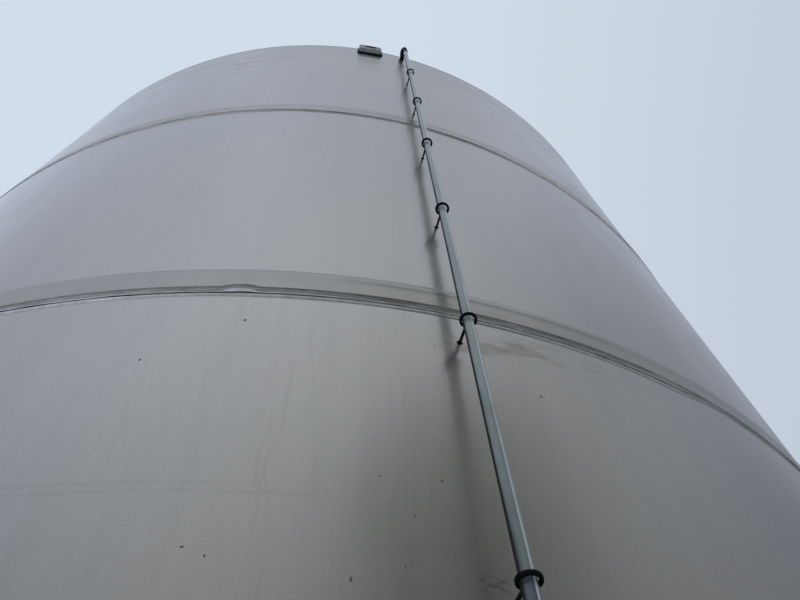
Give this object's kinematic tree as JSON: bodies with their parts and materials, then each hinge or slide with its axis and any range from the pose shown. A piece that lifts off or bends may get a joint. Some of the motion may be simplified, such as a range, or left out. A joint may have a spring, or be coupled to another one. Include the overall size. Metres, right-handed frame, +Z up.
{
  "type": "liquid fertilizer tank",
  "caption": "Round upright stainless steel storage tank in stacked courses under a shallow dome, with a clamped pipe up its side and a vent cowl below the rim.",
  "frame": {"origin": "middle of the floor, on its underside at ground level", "axes": "+Z up along the tank's axis, -Y towards the pipe, +X to the right when facing the pipe from outside"},
  "size_m": [10.414, 10.5835, 11.891],
  "materials": {
    "shell_steel": "dull cold-rolled stainless steel with faint water runs",
    "band_steel": "slightly duller stainless steel with grime",
    "roof_steel": "dull stainless steel",
    "floor_steel": "plain dull stainless steel",
    "pipe_plastic": "satin grey plastic pipe",
    "fitting_plastic": "black moulded plastic",
    "clamp_rubber": "black",
    "bracket_steel": "dark weathered steel",
    "flange_rubber": "black",
    "cowl_plastic": "satin light grey"
  },
  "bodies": {
    "root": {"tank_floor": "floor_steel", "wall_course_1_front": "shell_steel", "wall_course_1_right": "shell_steel", "wall_course_1_back": "shell_steel", "wall_course_1_left": "shell_steel", "wall_course_2_front": "shell_steel", "wall_course_2_right": "shell_steel", "wall_course_2_back": "shell_steel", "wall_course_2_left": "shell_steel", "wall_course_3_front": "shell_steel", "wall_course_3_right": "shell_steel", "wall_course_3_back": "shell_steel", "wall_course_3_left": "shell_steel", "wall_course_4_front": "shell_steel", "wall_course_4_right": "shell_steel", "wall_course_4_back": "shell_steel", "wall_course_4_left": "shell_steel", "joint_band_1": "band_steel", "joint_band_2": "band_steel", "joint_band_3": "band_steel", "rim_band": "band_steel", "roof_dome": "roof_steel", "upright_pipe": "pipe_plastic", "pipe_end_coupling": "fitting_plastic", "top_elbow": "fitting_plastic", "pipe_collar": "fitting_plastic", "pipe_side_cable": "clamp_rubber", "pipe_clamp_1": "clamp_rubber", "pipe_clamp_2": "clamp_rubber", "pipe_clamp_3": "clamp_rubber", "pipe_clamp_4": "clamp_rubber", "pipe_clamp_5": "clamp_rubber", "pipe_clamp_6": "clamp_rubber", "pipe_clamp_7": "clamp_rubber", "bracket_rod_1": "bracket_steel", "bracket_rod_2": "bracket_steel", "bracket_rod_3": "bracket_steel", "bracket_rod_4": "bracket_steel", "bracket_rod_5": "bracket_steel", "bracket_rod_6": "bracket_steel", "bracket_rod_7": "bracket_steel", "cowl_flange": "flange_rubber", "vent_cowl": "cowl_plastic"}
  },
  "joints": []
}
